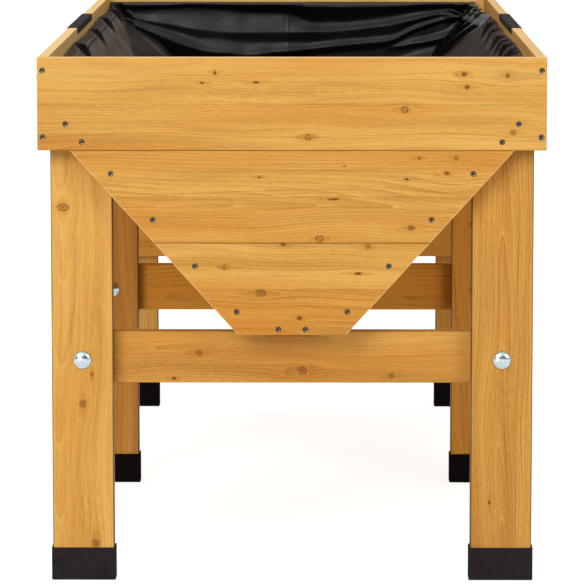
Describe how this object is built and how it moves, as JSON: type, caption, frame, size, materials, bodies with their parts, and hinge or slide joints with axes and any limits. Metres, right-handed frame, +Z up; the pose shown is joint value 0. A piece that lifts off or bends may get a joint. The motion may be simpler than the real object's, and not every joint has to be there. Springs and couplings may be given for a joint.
{
  "type": "raised garden bed",
  "caption": "V-shaped timber planting trough with a black fabric liner, standing at table height on braced leg frames with plastic foot caps.",
  "frame": {"origin": "on the floor, under the middle of the bed", "axes": "+X across the bed, +Y along the bed from the pictured end to the far end, +Z up"},
  "size_m": [0.7624, 1.8, 0.8012],
  "materials": {
    "timber": "honey stained, satin",
    "black_plastic": "moulded, satin",
    "liner_fabric": "non-woven, dull",
    "zinc_steel": "zinc plated"
  },
  "bodies": {
    "root": {"bolt_nuts": "zinc_steel", "bolt_washers": "zinc_steel", "carriage_bolts": "zinc_steel", "end_panel_screws": "zinc_steel", "front_bar": "timber", "front_keel_board": "timber", "front_left_cleat": "timber", "front_left_foot_cap": "black_plastic", "front_left_leg": "timber", "front_panel_board_1": "timber", "front_panel_board_2": "timber", "front_right_cleat": "timber", "front_right_foot_cap": "black_plastic", "front_right_leg": "timber", "front_rim_board": "timber", "keel_screws": "zinc_steel", "left_front_long_rim_board": "timber", "left_front_side_board_1": "timber", "left_front_side_board_2": "timber", "left_front_side_board_3": "timber", "left_front_side_board_4": "timber", "left_rear_long_rim_board": "timber", "left_rear_side_board_1": "timber", "left_rear_side_board_2": "timber", "left_rear_side_board_3": "timber", "left_rear_side_board_4": "timber", "left_rim_clip": "black_plastic", "liner": "liner_fabric", "middle_bar": "timber", "middle_left_foot_cap": "black_plastic", "middle_left_leg": "timber", "middle_left_rib": "timber", "middle_right_foot_cap": "black_plastic", "middle_right_leg": "timber", "middle_right_rib": "timber", "rear_bar": "timber", "rear_keel_board": "timber", "rear_left_cleat": "timber", "rear_left_foot_cap": "black_plastic", "rear_left_leg": "timber", "rear_panel_board_1": "timber", "rear_panel_board_2": "timber", "rear_right_cleat": "timber", "rear_right_foot_cap": "black_plastic", "rear_right_leg": "timber", "rear_rim_board": "timber", "right_front_long_rim_board": "timber", "right_front_side_board_1": "timber", "right_front_side_board_2": "timber", "right_front_side_board_3": "timber", "right_front_side_board_4": "timber", "right_rear_long_rim_board": "timber", "right_rear_side_board_1": "timber", "right_rear_side_board_2": "timber", "right_rear_side_board_3": "timber", "right_rear_side_board_4": "timber", "right_rim_clip": "black_plastic", "rim_to_leg_screws": "zinc_steel", "side_board_screws": "zinc_steel"}
  },
  "joints": []
}
